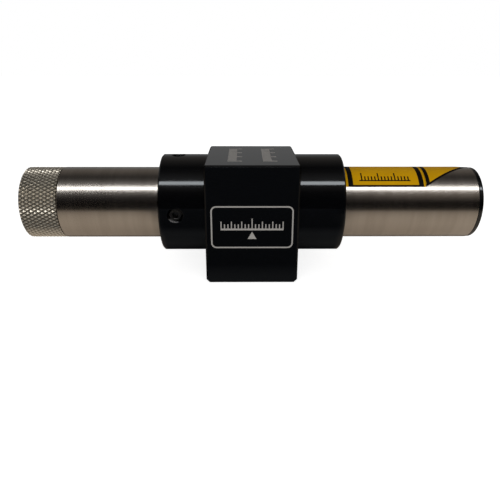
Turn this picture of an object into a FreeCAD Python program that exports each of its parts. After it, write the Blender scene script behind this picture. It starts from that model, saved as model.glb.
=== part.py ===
# Laser tool for lining up belt pulleys.
# A black block with a turned collar on each side is held on the side face of one pulley by
# magnets in its base. A steel tube through both collars carries two cells, a small driver
# board and a laser with a line lens. Turning the knurled end cap in switches the laser on,
# and unscrewing it opens the battery compartment.
#
# Frame, in millimetres: X runs along the tube towards the beam, Z is up, and -Y is the marked
# front face. The origin is the middle of the magnetic base face.

import FreeCAD
import Part
import math
import os

Vector = FreeCAD.Vector
join_tolerance = 0.001

# Block and collars, turned and milled from one bar
block_width = 27.4
block_depth = 33.0
axis_height = 20.7
collar_wall = 4.0
collar_length = 13.7
edge_break = 0.45
base_corner = 1.0
collar_edge = 0.4
bore_mouth_edge = 0.3

# Fit of the tube in the block: loose at the screws, so they can aim it, close at the pivot ring
aiming_gap = 0.3
pivot_fit = 0.02
pivot_land_length = 11.7
pivot_ring_section = 1.1
pivot_ring_inset = 6.2
pivot_groove_width = 1.6
ring_clearance = 0.03

# Four grub screws that aim and clamp the tube
screw_diameter = 4.0
screw_length = 3.0
screw_from_collar_end = 5.0
screw_fit = 0.03
screw_edge = 0.3
screw_socket_flats = 2.0
screw_socket_depth = 1.5
countersink_diameter = 4.5
countersink_depth = 0.5
screw_angles = (0.0, 90.0, 180.0, 270.0)

# Magnets in the base
magnet_diameter = 8.0
magnet_length = 5.0
magnet_recess = 0.1
magnet_fit = 0.05
magnet_edge = 0.3
magnet_pitch_x = 15.0
magnet_pitch_y = 18.0

# Steel tube
tube_wall = 2.0
tube_edge = 0.25
front_tube_showing = 40.8
thread_depth = 0.7
seal_seat_step = 0.2
seal_seat_length = 2.6
thread_run_out = 1.0

# Front bezel, window and line lens
rim_inset = 0.1
rim_thickness = 1.3
rim_round = 0.6
bezel_reach = 7.0
bezel_fit = 0.03
bezel_wall = 2.0
aperture_diameter = 8.4
aperture_mouth = 12.0
aperture_cone = 1.4
aperture_land = 0.6
window_seat_step = 1.0
window_thickness = 1.2
spanner_hole_diameter = 1.6
spanner_hole_depth = 1.2
spanner_hole_inset = 2.7
bezel_seal_section = 0.74
bezel_seal_inset = 2.4
bezel_groove_width = 1.0
line_lens_diameter = 3.0
line_lens_length = 8.0
line_slot_width = 8.0
line_slot_height = 2.4
beam_hole = 3.2

# Laser barrel with its diode and lens
barrel_diameter = 12.0
barrel_length = 11.5
barrel_groove_depth = 0.6
barrel_groove_width = 1.0
barrel_groove_count = 3
lens_bore = 6.8
lens_bore_depth = 6.5
diode_seat_diameter = 5.7
diode_bore = 4.6
diode_fit = 0.05
diode_base_thickness = 1.2
diode_can_diameter = 3.6
diode_can_length = 2.3
diode_lead_diameter = 0.45
diode_lead_length = 4.0
diode_lead_offset = 1.0
lens_fit = 0.1
lens_edge_thickness = 1.2
lens_crown = 0.8
lens_crown_diameter = 3.3
retainer_thickness = 2.0
retainer_bore = 4.0
retainer_slot = 0.8
focus_wire = 0.6
focus_coil_gap = 0.2
focus_turns = 2.0
coil_sides = 10
coil_steps_per_turn = 20

# Sleeve that centres the barrel and holds the contact disc
sleeve_fit = 0.03
sleeve_lip_thickness = 0.5
sleeve_lip_bore = 8.0
skirt_length = 6.0
skirt_wall = 1.2

# Contact disc, button and driver board
disc_fit = 0.1
disc_thickness = 1.6
button_diameter = 5.0
button_thickness = 1.0
rivet_diameter = 2.0
board_length = 5.8
board_width = 10.0
board_thickness = 1.0
component_margin = 0.8
component_start = 1.2
controller_side = 3.0
controller_height = 1.0
chip_length = 2.0
chip_width = 1.2
chip_height = 0.8
trimmer_side = 2.4
trimmer_height = 1.3
trimmer_knob_diameter = 1.6
trimmer_knob_height = 0.5

# Cells, of the common cylindrical size, and their liner
cell_diameter = 14.3
cell_length = 50.5
cell_nub_diameter = 5.4
cell_nub_height = 1.3
cell_shoulder = 0.7
cell_count = 2
liner_cell_gap = 0.2
liner_wall = 1.6
liner_fit = 0.05
liner_end_gap = 0.4

# Knurled end cap and what it pushes on
knurl_length = 11.4
knurl_rise = 0.05
knurl_depth = 0.45
knurl_count = 58
knurl_rows = 10
knurl_end_bevel = 0.45
knurl_shoulder_bevel = 0.25
cap_wall = 3.0
cap_cell_gap = 0.45
thread_gap = 0.1
spigot_length = 9.0
spigot_edge = 0.4
cap_seal_section = 1.2
cap_seal_gap = 0.05
cap_groove_width = 1.5
cap_groove_inset = 0.6
thrust_washer_gap = 0.2
thrust_washer_thickness = 0.5
thrust_washer_bore = 6.0
face_gap = 0.05
cup_gap = 0.3
cup_wall = 0.8
cup_height = 3.0
spring_wire = 0.8
spring_coil_diameter = 9.0
spring_turns = 4.0
spring_working_length = 4.75

# Two blank stickers on the front part of the tube
sticker_thickness = 0.1
sticker_lift = 0.02
sticker_gap_from_collar = 0.7
sticker_wrap_angle = 102.0
sticker_centre_angle = 1.0
panel_length = 24.0
sticker_spacing = 0.1
tip_length = 14.2
tip_steps = 12

# Diameters, worked out from the cells outwards: cell, liner, tube, collar
liner_bore = cell_diameter + 2 * liner_cell_gap
liner_diameter = liner_bore + 2 * liner_wall
tube_bore = liner_diameter + 2 * liner_fit
tube_diameter = tube_bore + 2 * tube_wall
collar_diameter = tube_diameter + 2 * collar_wall
tube_radius = tube_diameter / 2
bore_radius = tube_bore / 2

# Diameters of fitting pieces, worked out from what they fit in and the gaps above
thread_bore = tube_bore + 2 * thread_depth
seal_seat_bore = thread_bore + 2 * seal_seat_step
rim_diameter = tube_diameter - 2 * rim_inset
bezel_bore = tube_bore - 2 * bezel_wall
window_diameter = bezel_bore - 2 * window_seat_step
spanner_hole_pitch = rim_diameter - 2 * spanner_hole_inset
diode_base_diameter = diode_seat_diameter - 2 * diode_fit
lens_diameter = lens_bore - 2 * lens_fit
focus_coil_diameter = lens_bore - 2 * focus_coil_gap - focus_wire
skirt_bore = tube_bore - 2 * skirt_wall
disc_diameter = tube_bore - 2 * disc_fit
knurl_diameter = tube_diameter + 2 * knurl_rise
cap_bore = cell_diameter + 2 * cap_cell_gap
spigot_diameter = thread_bore - 2 * thread_gap
cap_seal_outer = seal_seat_bore - 2 * cap_seal_gap
thrust_washer_diameter = cap_bore - 2 * thrust_washer_gap
cup_diameter = cap_bore - 2 * cup_gap

# Places along Z and X, worked out from the sizes above. The block's top is level with the
# tops of its collars.
block_height = axis_height + collar_diameter / 2
collar_end = block_width / 2 + collar_length
tube_front = collar_end + front_tube_showing
bezel_back = tube_front - bezel_reach
aperture_floor = tube_front + rim_thickness - aperture_cone
window_front = aperture_floor - aperture_land
window_back = window_front - window_thickness
barrel_front = bezel_back - sleeve_lip_thickness
barrel_back = barrel_front - barrel_length
disc_front = barrel_back - skirt_length
disc_back = disc_front - disc_thickness
cell_front = disc_back - button_thickness
cell_rear = cell_front - cell_count * cell_length
cup_floor = cell_rear - spring_working_length
cup_back = cup_floor - cup_wall
washer_back = cup_back - thrust_washer_thickness
cap_floor = washer_back - face_gap
cap_end = cap_floor - cap_wall
cap_shoulder = cap_end + knurl_length
spigot_end = cap_shoulder + spigot_length
thread_end = spigot_end + thread_run_out
screw_x = -collar_end + screw_from_collar_end
screw_tip_radius = tube_radius + pivot_fit


def on_axis(x, across=0.0, above=0.0):
    return Vector(x, across, axis_height + above)


def turned(outline):
    """A solid of revolution about the tube's axis, from (x, radius) corners of its half section."""
    corners = [on_axis(x, above=radius) for x, radius in outline]
    return Part.Face(Part.makePolygon(corners + corners[:1])).revolve(on_axis(0), Vector(1, 0, 0), 360)


def rod(x_from, x_to, diameter):
    return Part.makeCylinder(diameter / 2, x_to - x_from, on_axis(x_from), Vector(1, 0, 0))


def ring(x_middle, inner_radius, section):
    """A round sealing ring of the given section diameter."""
    return Part.makeTorus(inner_radius + section / 2, section / 2, on_axis(x_middle), Vector(1, 0, 0))


def coil(x_from, x_to, coil_diameter, wire, turns):
    """A helical spring along the tube's axis, its wire inside the stated length.

    The wire is a ruled skin over many-sided sections, which stays light for so small a piece.
    """
    radius = coil_diameter / 2
    advance = x_to - x_from - wire
    steps = int(turns * coil_steps_per_turn)
    sections = []
    for step in range(steps + 1):
        turn = 2 * math.pi * turns * step / steps
        outward = Vector(0, math.sin(turn), math.cos(turn))
        along = Vector(advance / (2 * math.pi * turns), radius * math.cos(turn), -radius * math.sin(turn))
        across = along.cross(outward)
        across.normalize()
        middle = on_axis(x_from + wire / 2 + advance * step / steps) + outward * radius
        corners = [
            middle + outward * (wire / 2 * math.cos(a)) + across * (wire / 2 * math.sin(a))
            for a in (2 * math.pi * side / coil_sides for side in range(coil_sides))
        ]
        sections.append(Part.makePolygon(corners + corners[:1]))
    return Part.makeLoft(sections, True, True)


def circles_at(solid, x, diameter):
    """The circular edges of that diameter that lie square to the tube's axis at x."""
    return [
        e for e in solid.Edges
        if isinstance(e.Curve, Part.Circle)
        and abs(e.Curve.Center.x - x) < join_tolerance
        and abs(e.Curve.Radius - diameter / 2) < join_tolerance
    ]


def around_axis(shape, angle):
    """A copy turned about the tube's axis: 0 is as built, 90 brings the top to the front."""
    copy = shape.copy()
    copy.rotate(on_axis(0), Vector(1, 0, 0), angle)
    return copy


def magnet_places():
    return [
        Vector(x * magnet_pitch_x / 2, y * magnet_pitch_y / 2, 0) for x in (-1, 1) for y in (-1, 1)
    ]


def block():
    """The milled block, bevelled on every edge and more so along its two base corners."""
    half = block_width / 2
    outline = [
        (-half + base_corner, 0),
        (half - base_corner, 0),
        (half, base_corner),
        (half, block_height - edge_break),
        (half - edge_break, block_height),
        (-half + edge_break, block_height),
        (-half, block_height - edge_break),
        (-half, base_corner),
    ]
    corners = [Vector(x, -block_depth / 2, z) for x, z in outline]
    solid = Part.Face(Part.makePolygon(corners + corners[:1])).extrude(Vector(0, block_depth, 0))
    ends = [face for face in solid.Faces if abs(face.normalAt(0, 0).y) > 0.9]
    return solid.makeChamfer(edge_break, [edge for face in ends for edge in face.Edges])


def housing():
    """Block and collars in one piece, bored for the tube and drilled for screws and magnets."""
    radius = collar_diameter / 2
    collars = turned([
        (-collar_end, 0),
        (-collar_end, radius - collar_edge),
        (-collar_end + collar_edge, radius),
        (collar_end - collar_edge, radius),
        (collar_end, radius - collar_edge),
        (collar_end, 0),
    ])
    body = block().fuse(collars)

    loose = tube_radius + aiming_gap
    close = tube_radius + pivot_fit
    land = collar_end - pivot_land_length
    groove = tube_radius + ring_clearance + pivot_ring_section + ring_clearance
    groove_middle = collar_end - pivot_ring_inset
    bore = turned([
        (-collar_end, 0),
        (-collar_end, loose + bore_mouth_edge),
        (-collar_end + bore_mouth_edge, loose),
        (land - aiming_gap, loose),
        (land, close),
        (groove_middle - pivot_groove_width / 2, close),
        (groove_middle - pivot_groove_width / 2, groove),
        (groove_middle + pivot_groove_width / 2, groove),
        (groove_middle + pivot_groove_width / 2, close),
        (collar_end - bore_mouth_edge, close),
        (collar_end, close + bore_mouth_edge),
        (collar_end, 0),
    ])
    cuts = [bore]
    for angle in screw_angles:
        cuts.append(around_axis(screw_hole(), angle))
    for place in magnet_places():
        cuts.append(
            Part.makeCylinder(magnet_diameter / 2 + magnet_fit, magnet_length + magnet_recess, place)
        )
    return body.cut(cuts).removeSplitter()


def screw_hole():
    """The tapped hole at the top of the left collar, with its countersink."""
    surface = collar_diameter / 2
    radius = screw_diameter / 2
    mouth = countersink_diameter / 2
    hole = Part.makeCylinder(radius, surface, on_axis(screw_x))
    cone_base = on_axis(screw_x, above=surface - countersink_depth)
    return hole.fuse(Part.makeCone(radius, mouth + countersink_depth, 2 * countersink_depth, cone_base))


def adjusting_screw():
    """One grub screw, tip on the tube, with a hexagon socket."""
    radius = screw_diameter / 2 - screw_fit
    bottom = on_axis(screw_x, above=screw_tip_radius)
    body = Part.makeCylinder(radius, screw_length, bottom)
    body = body.makeChamfer(screw_edge, [e for e in body.Edges if len(e.Vertexes) == 1])
    corner = screw_socket_flats / math.sqrt(3)
    socket_floor = screw_tip_radius + screw_length - screw_socket_depth
    corners = [
        on_axis(screw_x + corner * math.cos(a), corner * math.sin(a), socket_floor)
        for a in (math.radians(60 * i) for i in range(6))
    ]
    socket = Part.Face(Part.makePolygon(corners + corners[:1])).extrude(Vector(0, 0, screw_length))
    return body.cut(socket)


def adjusting_screws():
    return Part.makeCompound([around_axis(adjusting_screw(), angle) for angle in screw_angles])


def pivot_ring():
    return ring(collar_end - pivot_ring_inset, tube_radius + ring_clearance, pivot_ring_section)


def base_magnets():
    lift = Vector(0, 0, magnet_recess)
    magnets = []
    for place in magnet_places():
        disc = Part.makeCylinder(magnet_diameter / 2, magnet_length, place + lift)
        magnets.append(disc.makeChamfer(magnet_edge, [e for e in disc.Edges if len(e.Vertexes) == 1]))
    return Part.makeCompound(magnets)


def laser_tube():
    """The steel tube, with a seal seat and a threaded length at the cap's end."""
    return turned([
        (cap_shoulder, seal_seat_bore / 2),
        (cap_shoulder, tube_radius - tube_edge),
        (cap_shoulder + tube_edge, tube_radius),
        (tube_front - tube_edge, tube_radius),
        (tube_front, tube_radius - tube_edge),
        (tube_front, bore_radius),
        (thread_end, bore_radius),
        (thread_end, thread_bore / 2),
        (cap_shoulder + seal_seat_length, thread_bore / 2),
        (cap_shoulder + seal_seat_length, seal_seat_bore / 2),
    ])


def front_bezel():
    """The black ring that closes the front end, with a coned aperture and two spanner holes."""
    spigot = bore_radius - bezel_fit
    rim = rim_diameter / 2
    rim_front = tube_front + rim_thickness
    seal_middle = tube_front - bezel_seal_inset
    groove_floor = bore_radius - bezel_seal_section - 2 * ring_clearance
    corners = [
        (bezel_back, bezel_bore / 2),
        (bezel_back, spigot),
        (seal_middle - bezel_groove_width / 2, spigot),
        (seal_middle - bezel_groove_width / 2, groove_floor),
        (seal_middle + bezel_groove_width / 2, groove_floor),
        (seal_middle + bezel_groove_width / 2, spigot),
        (tube_front, spigot),
        (tube_front, rim),
        (rim_front, rim),
        (rim_front, aperture_mouth / 2),
        (aperture_floor, aperture_diameter / 2),
        (window_front, aperture_diameter / 2),
        (window_front, window_diameter / 2),
        (window_back, window_diameter / 2),
        (window_back, bezel_bore / 2),
    ]
    body = turned(corners)
    body = body.makeFillet(rim_round, circles_at(body, rim_front, rim_diameter))
    holes = [
        Part.makeCylinder(
            spanner_hole_diameter / 2,
            spanner_hole_depth,
            on_axis(rim_front, across=side * spanner_hole_pitch / 2),
            Vector(-1, 0, 0),
        )
        for side in (-1, 1)
    ]
    return body.cut(holes)


def bezel_seal():
    inner = bore_radius - bezel_seal_section - ring_clearance
    return ring(tube_front - bezel_seal_inset, inner, bezel_seal_section)


def front_window():
    return rod(window_back, window_front, window_diameter - 2 * bezel_fit)


def line_lens_x():
    return window_back - line_lens_diameter / 2 - sleeve_lip_thickness


def line_lens_holder():
    """The disc that stands the rod lens upright, slotted level so that the fan of light can spread."""
    body = rod(bezel_back, window_back, bezel_bore - 2 * bezel_fit)
    beam = rod(bezel_back, window_back, beam_hole)
    x = line_lens_x()
    lens_hole = Part.makeCylinder(
        line_lens_diameter / 2 + bezel_fit,
        line_lens_length + 2 * bezel_fit,
        on_axis(x, above=-line_lens_length / 2 - bezel_fit),
    )
    slot = Part.makeBox(
        window_back - x,
        line_slot_width,
        line_slot_height,
        on_axis(x, across=-line_slot_width / 2, above=-line_slot_height / 2),
    )
    return body.cut([beam, lens_hole, slot])


def line_lens():
    foot = on_axis(line_lens_x(), above=-line_lens_length / 2)
    return Part.makeCylinder(line_lens_diameter / 2, line_lens_length, foot)


def laser_barrel():
    """The brass barrel: a diode seat behind, a lens bore in front, and cooling grooves."""
    radius = barrel_diameter / 2
    lens_step = barrel_front - lens_bore_depth
    diode_floor = barrel_back + diode_base_thickness
    body = turned([
        (barrel_back, diode_seat_diameter / 2),
        (barrel_back, radius),
        (barrel_front, radius),
        (barrel_front, lens_bore / 2),
        (lens_step, lens_bore / 2),
        (lens_step, diode_bore / 2),
        (diode_floor, diode_bore / 2),
        (diode_floor, diode_seat_diameter / 2),
    ])
    grooves = []
    for i in range(barrel_groove_count):
        x = barrel_back + (2 * i + 1) * barrel_groove_width
        outer = rod(x, x + barrel_groove_width, barrel_diameter + 2 * barrel_groove_depth)
        inner = rod(x, x + barrel_groove_width, barrel_diameter - 2 * barrel_groove_depth)
        grooves.append(outer.cut(inner))
    return body.cut(grooves)


def diode_lead_places():
    return [(-diode_lead_offset, 0), (diode_lead_offset, 0), (0, diode_lead_offset)]


def laser_diode():
    base = rod(barrel_back, barrel_back + diode_base_thickness, diode_base_diameter)
    can_start = barrel_back + diode_base_thickness
    can = rod(can_start, can_start + diode_can_length, diode_can_diameter)
    leads = [
        Part.makeCylinder(
            diode_lead_diameter / 2,
            diode_lead_length,
            on_axis(barrel_back - diode_lead_length, across=y, above=z),
            Vector(1, 0, 0),
        )
        for y, z in diode_lead_places()
    ]
    return base.fuse([can] + leads)


def retainer_back():
    return barrel_front - retainer_thickness


def lens_back():
    return retainer_back() - lens_edge_thickness


def collimating_lens():
    """A flat-backed lens whose crown stands into the retaining ring."""
    back, edge = lens_back(), retainer_back()
    half_crown = lens_crown_diameter / 2
    sphere = (half_crown ** 2 + lens_crown ** 2) / (2 * lens_crown)
    disc = rod(back, edge, lens_diameter)
    ball = Part.makeSphere(sphere, on_axis(edge + lens_crown - sphere))
    front_half = rod(edge, edge + lens_crown, lens_diameter)
    return disc.fuse(ball.common(front_half))


def lens_retainer():
    body = rod(retainer_back(), barrel_front, lens_bore - 2 * bezel_fit)
    hole = rod(retainer_back(), barrel_front, retainer_bore)
    slot = Part.makeBox(
        retainer_slot,
        lens_bore,
        retainer_slot,
        on_axis(barrel_front - retainer_slot, across=-lens_bore / 2, above=-retainer_slot / 2),
    )
    return body.cut([hole, slot])


def focus_spring():
    step = barrel_front - lens_bore_depth
    return coil(step, lens_back(), focus_coil_diameter, focus_wire, focus_turns)


def module_sleeve():
    """The sleeve between barrel and tube. Its skirt reaches back to the contact disc."""
    outer = bore_radius - sleeve_fit
    inner = barrel_diameter / 2 + sleeve_fit
    return turned([
        (disc_front, skirt_bore / 2),
        (disc_front, outer),
        (bezel_back, outer),
        (bezel_back, sleeve_lip_bore / 2),
        (barrel_front, sleeve_lip_bore / 2),
        (barrel_front, inner),
        (barrel_back, inner),
        (barrel_back, skirt_bore / 2),
    ])


def contact_disc():
    return rod(disc_back, disc_front, disc_diameter).cut(rod(disc_back, disc_front, rivet_diameter))


def contact_button():
    head = rod(cell_front, disc_back, button_diameter)
    return head.fuse(rod(disc_back, disc_front, rivet_diameter))


def board_top():
    return -diode_lead_diameter / 2


def driver_board():
    corner = on_axis(disc_front, across=-board_width / 2, above=board_top() - board_thickness)
    return Part.makeBox(board_length, board_width, board_thickness, corner)


def on_board(length, width, height, across, base):
    """A box-shaped component, its near end in line with the others and its middle at `across`."""
    corner = on_axis(disc_front + component_start, across=across - width / 2, above=base)
    return Part.makeBox(length, width, height, corner)


def driver_parts():
    """A controller and two small parts under the board, and a trimmer on top of it."""
    top = board_top()
    under = top - board_thickness
    edge = board_width / 2 - component_margin
    parts = [on_board(controller_side, controller_side, controller_height, 0, under - controller_height)]
    for side in (-1, 1):
        middle = side * (edge - chip_width / 2)
        parts.append(on_board(chip_length, chip_width, chip_height, middle, under - chip_height))
    middle = edge - trimmer_side / 2
    trimmer = on_board(trimmer_side, trimmer_side, trimmer_height, middle, top)
    knob = Part.makeCylinder(
        trimmer_knob_diameter / 2,
        trimmer_knob_height,
        on_axis(disc_front + component_start + trimmer_side / 2, across=middle, above=top + trimmer_height),
    )
    parts.append(trimmer.fuse(knob))
    return Part.makeCompound(parts)


def cell(x_rear):
    """One cell: crimped can, with its nub towards the beam."""
    radius = cell_diameter / 2
    x_front = x_rear + cell_length
    can_front = x_front - cell_nub_height
    nub = cell_nub_diameter / 2
    return turned([
        (x_rear, 0),
        (x_rear, radius - cell_shoulder),
        (x_rear + cell_shoulder, radius),
        (can_front - cell_shoulder, radius),
        (can_front, radius - cell_shoulder),
        (can_front, nub),
        (x_front, nub),
        (x_front, 0),
    ])


def cell_liner():
    return rod(thread_end + liner_end_gap, disc_back, liner_diameter).cut(
        rod(thread_end + liner_end_gap, disc_back, liner_bore)
    )


def knurled_head():
    """The gripping part of the cap: two crossed sets of slanted grooves leave rows of pyramids.

    The skin is a net of points, tips and groove crossings by turns. Each square of the net
    is folded along the groove that crosses it. A bevel ring and a flat disc close each end.
    """
    around = 2 * knurl_count
    tip = knurl_diameter / 2
    valley = tip - knurl_depth
    net_start = cap_end + knurl_end_bevel
    net_end = cap_shoulder - knurl_shoulder_bevel
    step = (net_end - net_start) / knurl_rows
    rings = [(cap_end, valley - knurl_end_bevel, False)]
    rings += [(net_start + row * step, None, True) for row in range(knurl_rows + 1)]
    rings += [(cap_shoulder, valley - knurl_shoulder_bevel, False)]

    points = []
    for row, (x, radius, patterned) in enumerate(rings):
        for i in range(around):
            angle = math.pi * i / knurl_count
            r = (tip if (i + row) % 2 else valley) if patterned else radius
            points.append(on_axis(x, r * math.sin(angle), r * math.cos(angle)))
    points += [on_axis(cap_end), on_axis(cap_shoulder)]

    facets = []
    for row in range(len(rings) - 1):
        for i in range(around):
            a = row * around + i
            b = row * around + (i + 1) % around
            c, d = b + around, a + around
            # the fold runs between the two groove crossings of the square
            if (i + row) % 2:
                facets += [(a, b, d), (b, c, d)]
            else:
                facets += [(a, b, c), (a, c, d)]
    for i in range(around):
        j = (i + 1) % around
        last = (len(rings) - 1) * around
        facets += [(len(points) - 2, j, i), (len(points) - 1, last + i, last + j)]
    shell = Part.Shape()
    shell.makeShapeFromMesh(([tuple(p) for p in points], facets), join_tolerance)
    solid = Part.Solid(shell)
    if solid.Volume < 0:
        solid.reverse()
    return solid


def end_cap():
    """Knurled cap with a threaded spigot, a seal groove and a bore over the rear cell's end."""
    radius = spigot_diameter / 2
    groove_floor = cap_seal_outer / 2 - cap_seal_section - ring_clearance
    groove_start = cap_shoulder + cap_groove_inset
    spigot = turned([
        (cap_shoulder - knurl_length / 2, 0),
        (cap_shoulder - knurl_length / 2, radius),
        (groove_start, radius),
        (groove_start, groove_floor),
        (groove_start + cap_groove_width, groove_floor),
        (groove_start + cap_groove_width, radius),
        (spigot_end - spigot_edge, radius),
        (spigot_end, radius - spigot_edge),
        (spigot_end, 0),
    ])
    bore = rod(cap_floor, spigot_end, cap_bore)
    return knurled_head().fuse(spigot).cut(bore)


def cap_seal():
    inner = cap_seal_outer / 2 - cap_seal_section
    return ring(cap_shoulder + cap_groove_inset + cap_groove_width / 2, inner, cap_seal_section)


def thrust_washer():
    return rod(washer_back, cup_back, thrust_washer_diameter).cut(
        rod(washer_back, cup_back, thrust_washer_bore)
    )


def contact_cup():
    """The brass cup that seats the spring. It slides with the cap but does not turn."""
    radius = cup_diameter / 2
    return turned([
        (cup_back, 0),
        (cup_back, radius),
        (cup_back + cup_height, radius),
        (cup_back + cup_height, radius - cup_wall),
        (cup_floor, radius - cup_wall),
        (cup_floor, 0),
    ])


def battery_spring():
    return coil(cup_floor, cell_rear - face_gap, spring_coil_diameter, spring_wire, spring_turns)


def sticker_shell(x_from, x_to):
    inner = tube_radius + sticker_lift
    outer = inner + sticker_thickness
    return rod(x_from, x_to, 2 * outer).cut(rod(x_from, x_to, 2 * inner))


def wrapped(outline, x_from, x_to):
    """The part of a thin shell on the tube under an outline of (x, angle from the top) corners."""
    reach = tube_radius + sticker_lift + sticker_thickness
    corners = [on_axis(x, reach * math.sin(math.radians(a))) for x, a in outline]
    cutter = Part.Face(Part.makePolygon(corners + corners[:1])).extrude(Vector(0, 0, tube_diameter))
    piece = sticker_shell(x_from, x_to).common(cutter)
    return around_axis(piece, -sticker_centre_angle)


def panel_start():
    return collar_end + sticker_gap_from_collar


def sticker_panel():
    start = panel_start()
    end = start + panel_length
    half = sticker_wrap_angle / 2
    return wrapped([(start, -half), (end, -half), (end, half), (start, half)], start, end)


def sticker_tip():
    """The tapered sticker: straight sides when flat, so they curve once wrapped on the tube."""
    start = panel_start() + panel_length + sticker_spacing
    half = sticker_wrap_angle / 2
    side = [
        (start + tip_length * i / tip_steps, half * (1 - i / tip_steps)) for i in range(tip_steps + 1)
    ]
    outline = side + [(x, -angle) for x, angle in reversed(side[:-1])]
    return wrapped(outline, start, start + tip_length)


pieces = {
    "housing": housing,
    "adjusting_screws": adjusting_screws,
    "pivot_ring": pivot_ring,
    "base_magnets": base_magnets,
    "laser_tube": laser_tube,
    "front_bezel": front_bezel,
    "bezel_seal": bezel_seal,
    "front_window": front_window,
    "line_lens_holder": line_lens_holder,
    "line_lens": line_lens,
    "laser_barrel": laser_barrel,
    "laser_diode": laser_diode,
    "focus_spring": focus_spring,
    "collimating_lens": collimating_lens,
    "lens_retainer": lens_retainer,
    "module_sleeve": module_sleeve,
    "contact_disc": contact_disc,
    "contact_button": contact_button,
    "driver_board": driver_board,
    "driver_parts": driver_parts,
    "front_cell": lambda: cell(cell_front - cell_length),
    "rear_cell": lambda: cell(cell_rear),
    "cell_liner": cell_liner,
    "battery_spring": battery_spring,
    "contact_cup": contact_cup,
    "thrust_washer": thrust_washer,
    "cap_seal": cap_seal,
    "end_cap": end_cap,
    "sticker_panel": sticker_panel,
    "sticker_tip": sticker_tip,
}

os.makedirs("parts", exist_ok=True)
for name, make in pieces.items():
    shape = make()
    shape.exportStep("parts/" + name + ".step")
    print(f"{name}: {len(shape.Solids)} solid(s), {shape.Volume:.1f} cubic mm, valid {shape.isValid()}")
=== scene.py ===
# Laser belt alignment tool: finishes, fine detail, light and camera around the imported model
import bpy
import bmesh
import math
from mathutils import Matrix, Vector


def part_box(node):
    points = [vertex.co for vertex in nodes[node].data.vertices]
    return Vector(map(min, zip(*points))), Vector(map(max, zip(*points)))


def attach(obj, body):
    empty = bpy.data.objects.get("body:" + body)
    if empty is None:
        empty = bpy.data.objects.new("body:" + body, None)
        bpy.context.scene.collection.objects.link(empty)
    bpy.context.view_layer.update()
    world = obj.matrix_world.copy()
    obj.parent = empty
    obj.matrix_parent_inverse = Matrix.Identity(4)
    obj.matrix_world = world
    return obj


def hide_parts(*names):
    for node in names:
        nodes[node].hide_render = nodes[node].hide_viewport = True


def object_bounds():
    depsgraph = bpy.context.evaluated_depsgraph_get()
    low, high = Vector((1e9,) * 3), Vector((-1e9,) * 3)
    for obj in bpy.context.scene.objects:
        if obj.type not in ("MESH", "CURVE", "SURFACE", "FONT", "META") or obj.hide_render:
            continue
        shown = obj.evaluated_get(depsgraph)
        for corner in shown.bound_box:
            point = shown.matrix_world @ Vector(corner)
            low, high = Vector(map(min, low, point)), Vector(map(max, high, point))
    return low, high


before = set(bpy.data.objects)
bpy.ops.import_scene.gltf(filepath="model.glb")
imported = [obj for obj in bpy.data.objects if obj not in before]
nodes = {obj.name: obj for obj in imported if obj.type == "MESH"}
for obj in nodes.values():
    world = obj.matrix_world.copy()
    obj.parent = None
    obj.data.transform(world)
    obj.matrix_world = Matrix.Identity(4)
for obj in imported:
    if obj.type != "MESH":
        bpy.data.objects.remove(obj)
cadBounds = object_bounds()
mm = 0.001

# Places that several pieces share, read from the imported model
tubeLow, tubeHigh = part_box("laser_tube")
housingLow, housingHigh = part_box("housing")
capLow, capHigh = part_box("end_cap")
panelLow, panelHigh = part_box("sticker_panel")
tipLow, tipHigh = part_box("sticker_tip")
tubeAxis = (tubeLow.z + tubeHigh.z) / 2  # height of the tube's centre line
tubeRadius = (tubeHigh.z - tubeLow.z) / 2
screwLow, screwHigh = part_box("adjusting_screws")
screwX = (screwLow.x + screwHigh.x) / 2
print("frame loaded: axis", round(tubeAxis / mm, 2), "mm up, tube radius", round(tubeRadius / mm, 2), "mm")


# Helpers for modelling

def deselectAll():
    if bpy.context.mode != "OBJECT":
        bpy.ops.object.mode_set(mode="OBJECT")
    bpy.ops.object.select_all(action="DESELECT")


def selectOnly(*pieces):
    deselectAll()
    for piece in pieces:
        piece.select_set(True)
    bpy.context.view_layer.objects.active = pieces[0]


def nameActive(name):
    piece = bpy.context.object
    piece.name = name
    piece.data.name = name
    return piece


def editVertices(piece, test):
    # Opens edit mode with only the vertices that pass the test selected
    selectOnly(piece)
    bpy.ops.object.mode_set(mode="EDIT")
    bpy.ops.mesh.select_mode(type="VERT")
    bpy.ops.mesh.select_all(action="DESELECT")
    mesh = bmesh.from_edit_mesh(piece.data)
    for vertex in mesh.verts:
        if test(vertex.co):
            vertex.select = True
    mesh.select_flush_mode()
    bmesh.update_edit_mesh(piece.data)


def applyModifier(piece, kind, **settings):
    modifier = piece.modifiers.new(kind.lower(), kind)
    for key, value in settings.items():
        setattr(modifier, key, value)
    selectOnly(piece)
    bpy.ops.object.modifier_apply(modifier=modifier.name)


def joinPieces(pieces, name):
    selectOnly(*pieces)
    if len(pieces) > 1:
        bpy.ops.object.join()
    return nameActive(name)


def settle(piece, material, body):
    # Place goes into the mesh, then the piece gets its finish and the body that it moves with
    selectOnly(piece)
    bpy.ops.object.transform_apply(location=True, rotation=True, scale=True)
    piece.data.materials.clear()
    piece.data.materials.append(material)
    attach(piece, body)


# Helpers for materials

def makeNode(tree, kind, inputs=None, **settings):
    node = tree.nodes.new(kind)
    for key, value in settings.items():
        setattr(node, key, value)
    for socket, value in (inputs or {}).items():
        if isinstance(value, bpy.types.NodeSocket):
            tree.links.new(value, node.inputs[socket])
        else:
            node.inputs[socket].default_value = value
    return node


def calc(tree, operation, *values, clamp=False):
    inputs = dict(enumerate(values))
    return makeNode(tree, "ShaderNodeMath", inputs, operation=operation, use_clamp=clamp).outputs[0]


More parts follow.
